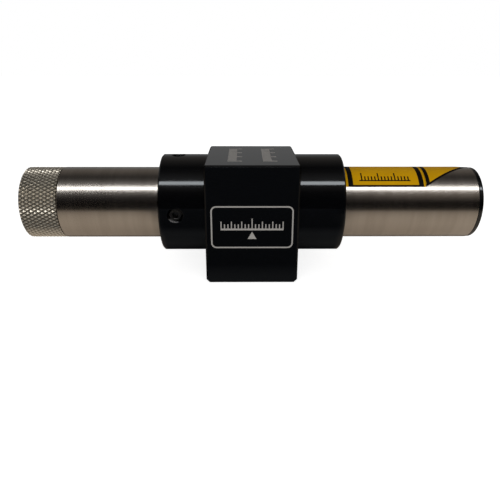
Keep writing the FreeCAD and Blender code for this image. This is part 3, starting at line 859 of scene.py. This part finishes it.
def growRing(x, fromRadius, toRadius, fromX):
    # Extrudes the selected face along X, then opens or closes it to the next radius
    bpy.ops.mesh.extrude_region_move(TRANSFORM_OT_translate={"value": ((x - fromX) * mm, 0, 0)})
    scale = toRadius / fromRadius
    bpy.ops.transform.resize(value=(1, scale, scale), center_override=(x * mm, 0, tubeAxis))


def capOutline():
    # Rings of the turned and knurled skin from the end face to the bore's floor: place and radius
    end = capLow.x / mm
    tip = (capHigh.z - capLow.z) / 2 / mm
    valley = tip - cap["knurlDepth"]
    netStart = end + cap["endBevel"]
    netEnd = end + cap["headLength"] - cap["shoulderBevel"]
    step = (netEnd - netStart) / cap["knurlRows"]
    rings = [(end, valley - cap["endBevel"])]
    rings += [(netStart + row * step, tip) for row in range(cap["knurlRows"] + 1)]
    rings += [(end + cap["headLength"], valley - cap["shoulderBevel"])]
    for distance, radius in (
        (cap["headLength"], cap["spigotRadius"]), (cap["grooveStart"], cap["spigotRadius"]),
        (cap["grooveStart"], cap["grooveRadius"]), (cap["grooveEnd"], cap["grooveRadius"]),
        (cap["grooveEnd"], cap["spigotRadius"]), (cap["threadStart"] - cap["leadIn"], cap["spigotRadius"]),
        (cap["threadStart"], cap["coreRadius"]), (cap["threadEnd"], cap["coreRadius"]),
        (cap["spigotEnd"], cap["coreRadius"] - cap["leadIn"]), (cap["spigotEnd"], cap["boreRadius"]),
        (cap["wall"], cap["boreRadius"]),
    ):
        rings.append((end + distance, radius))
    return rings, netStart, step, valley / tip


def fromCapAxis(place):
    return Vector((place.y, place.z - tubeAxis)).length / mm


def makeKnurledCap(finish):
    rings, netStart, step, shrink = capOutline()
    startX, startRadius = rings[0]
    deselectAll()
    bpy.ops.mesh.primitive_circle_add(vertices=2 * cap["knurlCount"], radius=startRadius * mm,
                                      fill_type="NGON", location=(startX * mm, 0, tubeAxis),
                                      rotation=(0, math.pi / 2, 0))
    piece = nameActive("knurledCap")
    bpy.ops.object.transform_apply(location=True, rotation=True, scale=True)
    bpy.ops.object.mode_set(mode="EDIT")
    bpy.ops.mesh.select_mode(type="FACE")
    bpy.ops.mesh.select_all(action="SELECT")
    for (fromX, fromRadius), (x, radius) in zip(rings, rings[1:]):
        growRing(x, fromRadius, radius, fromX)
    bpy.ops.object.mode_set(mode="OBJECT")

    def isValley(place):
        # Every second point of the net, shifted by one from row to row
        row = (place.x / mm - netStart) / step
        inRows = -cap["rowSlack"] <= row <= cap["knurlRows"] + cap["rowSlack"]
        if not inRows or fromCapAxis(place) < cap["tipsAbove"]:
            return False
        slot = round(math.atan2(place.y, place.z - tubeAxis) * cap["knurlCount"] / math.pi)
        return (slot + round(row)) % 2 == 1

    def inNet(place):
        fromStart = place.x / mm - netStart
        inReach = -cap["slack"] < fromStart < step * cap["knurlRows"] + cap["slack"]
        return inReach and fromCapAxis(place) > cap["netAbove"]

    editVertices(piece, isValley)
    bpy.ops.transform.resize(value=(1, shrink, shrink), center_override=(0, 0, tubeAxis))
    bpy.ops.mesh.select_all(action="SELECT")
    bpy.ops.mesh.normals_make_consistent(inside=False)
    bpy.ops.mesh.select_all(action="DESELECT")
    bpy.ops.object.mode_set(mode="OBJECT")
    editVertices(piece, inNet)
    bpy.ops.mesh.quads_convert_to_tris(quad_method="SHORTEST_DIAGONAL")
    bpy.ops.object.mode_set(mode="OBJECT")
    applyModifier(piece, "BEVEL", width=cap["crestWear"] * mm, segments=1, limit_method="ANGLE",
                  angle_limit=math.radians(cap["wearAngle"]), use_clamp_overlap=True)
    selectOnly(piece)
    bpy.ops.object.shade_smooth_by_angle(angle=math.radians(cap["headSmooth"]))
    settle(piece, finish, "screw_cap")
    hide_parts("end_cap")


def makeCapThread(finish):
    # One pointed profile swept round and along the spigot
    start = capLow.x / mm + cap["threadStart"] + cap["threadRunIn"]
    half = cap["threadPitch"] * cap["threadFlank"]
    flat = cap["threadFlat"]
    core = cap["coreRadius"] - cap["threadSunk"]
    crest = cap["spigotRadius"]
    deselectAll()
    bpy.ops.mesh.primitive_plane_add(size=1, location=(start * mm, 0, tubeAxis))
    piece = nameActive("capThread")
    corners = [(-half, core), (half, core), (flat, crest), (-flat, crest)]
    bpy.ops.object.mode_set(mode="EDIT")
    mesh = bmesh.from_edit_mesh(piece.data)
    bpy.ops.mesh.select_all(action="SELECT")
    ordered = sorted(mesh.verts, key=lambda vertex: math.atan2(vertex.co.y, vertex.co.x))
    for vertex, (x, radius) in zip(ordered, corners):
        vertex.co = Vector((x * mm, 0, radius * mm))
    bmesh.update_edit_mesh(piece.data)
    bpy.ops.mesh.delete(type="ONLY_FACE")
    bpy.ops.object.mode_set(mode="OBJECT")
    applyModifier(piece, "SCREW", axis="X", angle=2 * math.pi, screw_offset=cap["threadPitch"] * mm,
                  iterations=cap["threadTurns"], steps=cap["threadSteps"], render_steps=cap["threadSteps"],
                  use_smooth_shade=False, use_merge_vertices=False)
    selectOnly(piece)
    bpy.ops.object.mode_set(mode="EDIT")
    bpy.ops.mesh.select_all(action="DESELECT")
    bpy.ops.mesh.select_mode(type="EDGE")
    bpy.ops.mesh.select_non_manifold(extend=False)
    bpy.ops.mesh.fill()
    bpy.ops.mesh.select_all(action="SELECT")
    bpy.ops.mesh.normals_make_consistent(inside=False)
    bpy.ops.object.mode_set(mode="OBJECT")
    bpy.ops.object.shade_smooth_by_angle(angle=math.radians(cap["threadSmooth"]))
    settle(piece, finish, "screw_cap")


makeKnurledCap(finishes["knurledSteel"])
makeCapThread(finishes["knurledSteel"])
print("cap and its thread built")


# Floor, light and camera

studio = {  # lengths in metres
    "floorSize": 3.0,
    "floorSeen": 0.8,  # how pale the floor is to the camera
    "floorLift": 0.78,
    "floorInReflections": (0.87, 0.74, 0.61),
    "pastFloor": (0.01, 0.01, 0.01),
    "floorReach": 0.104,  # how far from the tool the pale sheet lies
    "floorBlur": 0.006,
    "frontShade": (0.55, 1.0),  # the sheet's tone, from far in front to close by
    "frontShadeFrom": (-0.08, -0.019),
    "tubeShadowInReflections": (0.02, 0.018, 0.016),  # painted shadow: a dark strip on the floor under the tube, seen only in reflections
    "underMiddle": 0.0075,
    "underFrom": (0.003, 0.0055),
    "underLeast": 0.35,
    "darkInReflections": (0.045, 0.047, 0.05),  # painted dark reflection: a dark patch on the floor in front of block and collars, seen only in reflections
    "dimInReflections": (0.2, 0.2, 0.2),
    "darkHalfWidth": 0.0295,
    "darkSpread": 0.18,  # how much wider it gets, away from the tool
    "darkStart": -0.015,
    "darkBlur": 0.002,
    "dimFar": (-0.031, -0.021),  # it is paler between these two
    "dimNear": (-0.002, -0.009),
    "sideGlow": (0.13, 0.11, 0.09),  # light from the right, seen in the steel only
    "glowAcross": (0.19, 0.27),
    "glowRise": (16, 45),  # degrees over the front
    "glowFall": (75, 50),
    "ambient": 0.35,
    "stripElevation": 59.4,
    "stripDistance": 0.7,
    "stripLength": 1.3,
    "stripWidth": 0.1,
    "stripRadiance": 4.8,
    "fillElevation": 20.0,
    "fillDistance": 1.0,
    "fillSize": (1.2, 0.6),
    "fillRadiance": 2.2,
}

# What polished surfaces see, by angle from level in front, over the top, to level behind
reflectionStops = [
    (0, (0.003, 0.002, 0.002)),
    (24, (0.003, 0.002, 0.002)),
    (38, (0.02, 0.017, 0.015)),
    (50, (0.08, 0.07, 0.062)),
    (72, (0.13, 0.12, 0.115)),
    (90, (0.04, 0.036, 0.033)),
    (104, (0.02, 0.018, 0.017)),
    (118, (0.07, 0.062, 0.056)),
    (135, (0.12, 0.106, 0.095)),
    (150, (0.14, 0.13, 0.12)),
    (161, (0.19, 0.19, 0.19)),
    (180, (0.21, 0.21, 0.21)),
]


def mirroredFloor(tree):
    # The floor as polished surfaces show it, with a painted shadow under the tube and a painted dark patch in
    # front of block and collars
    place = makeNode(tree, "ShaderNodeTexCoord").outputs["Object"]
    parts = makeNode(tree, "ShaderNodeSeparateXYZ", {"Vector": place}).outputs
    side = calc(tree, "ABSOLUTE", parts[0])
    depth = parts[1]

    sideways = calc(tree, "SUBTRACT", side, cadBounds[1][0])
    reach = calc(tree, "MAXIMUM", sideways, calc(tree, "ABSOLUTE", depth))
    edge, blur = studio["floorReach"], studio["floorBlur"]
    sheet = ranged(tree, reach, 0.0, 1.0, edge + blur, edge - blur)
    colour = blendColour(tree, sheet, rgb(*studio["pastFloor"]), rgb(*studio["floorInReflections"]))
    nearer = ranged(tree, depth, *studio["frontShade"], *studio["frontShadeFrom"])
    colour = blendColour(tree, nearer, rgb(0, 0, 0), colour)

    # Painted shadow of the tube on the floor, seen only in reflections
    fromStrip = calc(tree, "ABSOLUTE", calc(tree, "SUBTRACT", depth, studio["underMiddle"]))
    tubeShadow = ranged(tree, fromStrip, studio["underLeast"], 1.0, *studio["underFrom"])
    colour = blendColour(tree, tubeShadow, rgb(*studio["tubeShadowInReflections"]), colour)

    # Painted dark reflection: a dark patch on the floor, as wide as the collars and wider away from the tool
    away = calc(tree, "MAXIMUM", calc(tree, "SUBTRACT", studio["darkStart"], depth), 0.0)
    darkPatchEdge = calc(tree, "MULTIPLY_ADD", away, studio["darkSpread"], studio["darkHalfWidth"])
    pastEdge = calc(tree, "SUBTRACT", side, darkPatchEdge)
    darkPatch = ranged(tree, pastEdge, 0.0, 1.0, studio["darkBlur"], -studio["darkBlur"])
    dim = calc(tree, "MULTIPLY", ranged(tree, depth, 0.0, 1.0, *studio["dimFar"]),
               ranged(tree, depth, 0.0, 1.0, *studio["dimNear"]))
    dark = blendColour(tree, dim, rgb(*studio["darkInReflections"]), rgb(*studio["dimInReflections"]))
    return blendColour(tree, darkPatch, colour, dark)


def shinyRays(tree, rays):
    return calc(tree, "MAXIMUM", rays.outputs["Is Glossy Ray"], rays.outputs["Is Transmission Ray"])


def makeFloor():
    deselectAll()
    bpy.ops.mesh.primitive_plane_add(size=studio["floorSize"], location=(0, 0, 0))
    floor = nameActive("floor")
    material = bpy.data.materials.new("paleFloor")
    material.use_nodes = True
    tree = material.node_tree
    tree.nodes.clear()
    rays = makeNode(tree, "ShaderNodeLightPath")
    mirrored = makeNode(tree, "ShaderNodeBsdfDiffuse", {"Color": mirroredFloor(tree)})
    pale = studio["floorSeen"]
    plain = makeNode(tree, "ShaderNodeBsdfDiffuse", {"Color": rgb(pale, pale, pale)})
    lift = makeNode(tree, "ShaderNodeEmission", {"Color": rgb(1, 1, 1), "Strength": studio["floorLift"]})
    lifted = makeNode(tree, "ShaderNodeAddShader", {0: plain.outputs[0], 1: lift.outputs[0]})
    seen = makeNode(tree, "ShaderNodeMixShader", {0: rays.outputs["Is Camera Ray"], 1: plain.outputs[0],
                                                  2: lifted.outputs[0]})
    final = makeNode(tree, "ShaderNodeMixShader", {0: shinyRays(tree, rays), 1: seen.outputs[0],
                                                   2: mirrored.outputs[0]})
    makeNode(tree, "ShaderNodeOutputMaterial", {"Surface": final.outputs[0]})
    floor.data.materials.append(material)


def makeWorld():
    world = bpy.data.worlds.new("studioAir")
    bpy.context.scene.world = world
    world.use_nodes = True
    world.cycles.sampling_method = "NONE"  # its light is even, so the rays are kept for the strip
    tree = world.node_tree
    tree.nodes.clear()
    direction = makeNode(tree, "ShaderNodeTexCoord").outputs["Generated"]
    parts = makeNode(tree, "ShaderNodeSeparateXYZ", {"Vector": direction})
    forward = calc(tree, "MULTIPLY", parts.outputs[1], -1.0)
    angle = calc(tree, "ARCTAN2", parts.outputs[2], forward)
    turn = calc(tree, "DIVIDE", calc(tree, "ABSOLUTE", angle), math.pi)
    ramp = makeNode(tree, "ShaderNodeValToRGB", {"Fac": turn})
    stops = ramp.color_ramp.elements
    while len(stops) < len(reflectionStops):
        stops.new(0.5)
    for stop, (degrees, colour) in zip(stops, reflectionStops):
        stop.position = degrees / 180
        stop.color = rgb(*colour)
    glow = ranged(tree, parts.outputs[0], 0.0, 1.0, *studio["glowAcross"])
    for start, end in (studio["glowRise"], studio["glowFall"]):
        glow = calc(tree, "MULTIPLY", glow, ranged(tree, turn, 0.0, 1.0, start / 180, end / 180))
    glowLight = blendColour(tree, glow, rgb(0, 0, 0), rgb(*studio["sideGlow"]))
    mirrored = makeNode(tree, "ShaderNodeVectorMath", {0: ramp.outputs[0], 1: glowLight}, operation="ADD")
    rays = makeNode(tree, "ShaderNodeLightPath")
    level = studio["ambient"]
    unseen = blendColour(tree, shinyRays(tree, rays), rgb(level, level, level), mirrored.outputs[0])
    colour = blendColour(tree, rays.outputs["Is Camera Ray"], unseen, rgb(1, 1, 1))
    background = makeNode(tree, "ShaderNodeBackground", {"Color": colour, "Strength": 1.0})
    makeNode(tree, "ShaderNodeOutputWorld", {"Surface": background.outputs[0]})


def makeSoftbox(name, size, elevation, distance, radiance):
    # A soft light in front of the tool, turned towards its axis
    light = bpy.data.lights.new(name, "AREA")
    light.shape = "RECTANGLE"
    light.size, light.size_y = size
    light.energy = radiance * math.pi * size[0] * size[1]
    box = bpy.data.objects.new(name, light)
    bpy.context.scene.collection.objects.link(box)
    rise = math.radians(elevation)
    box.location = (0, -distance * math.cos(rise), tubeAxis + distance * math.sin(rise))
    box.rotation_euler = (math.pi / 2 - rise, 0, 0)
    return box


def makeLights():
    # The strip draws the bright line along tube and collars, the fill gives the level
    strip = makeSoftbox("softStrip", (studio["stripLength"], studio["stripWidth"]),
                        studio["stripElevation"], studio["stripDistance"], studio["stripRadiance"])
    strip.visible_diffuse = False
    fill = makeSoftbox("softFill", studio["fillSize"], studio["fillElevation"],
                       studio["fillDistance"], studio["fillRadiance"])
    fill.visible_glossy = False


cameraView = {
    "azimuth": -0.644,
    "elevation": 20.86,
    "roll": 0.152,
    "distance": 0.169136,
    "target": (-0.000401, 0.0, 0.004308),
    "lens": 36.925,
    "sensor": 36.0,
    "nearest": 0.01,
}


def makeCamera():
    turn = math.radians(cameraView["azimuth"])
    rise = math.radians(cameraView["elevation"])
    lean = math.radians(cameraView["roll"])
    back = Vector((math.sin(turn) * math.cos(rise), -math.cos(turn) * math.cos(rise), math.sin(rise)))
    right = Vector((math.cos(turn), math.sin(turn), 0))
    up = back.cross(right)
    level = math.cos(lean) * right + math.sin(lean) * up
    tall = -math.sin(lean) * right + math.cos(lean) * up
    camera = bpy.data.objects.new("photoCamera", bpy.data.cameras.new("photoCamera"))
    bpy.context.scene.collection.objects.link(camera)
    camera.data.lens = cameraView["lens"]
    camera.data.sensor_width = cameraView["sensor"]
    camera.data.clip_start = cameraView["nearest"]
    place = Vector(cameraView["target"]) + cameraView["distance"] * back
    camera.matrix_world = Matrix.Translation(place) @ Matrix((level, tall, back)).transposed().to_4x4()
    bpy.context.scene.camera = camera


makeFloor()
makeWorld()
makeLights()
makeCamera()
bpy.context.scene.view_settings.view_transform = "Standard"
print("floor, light and camera set")
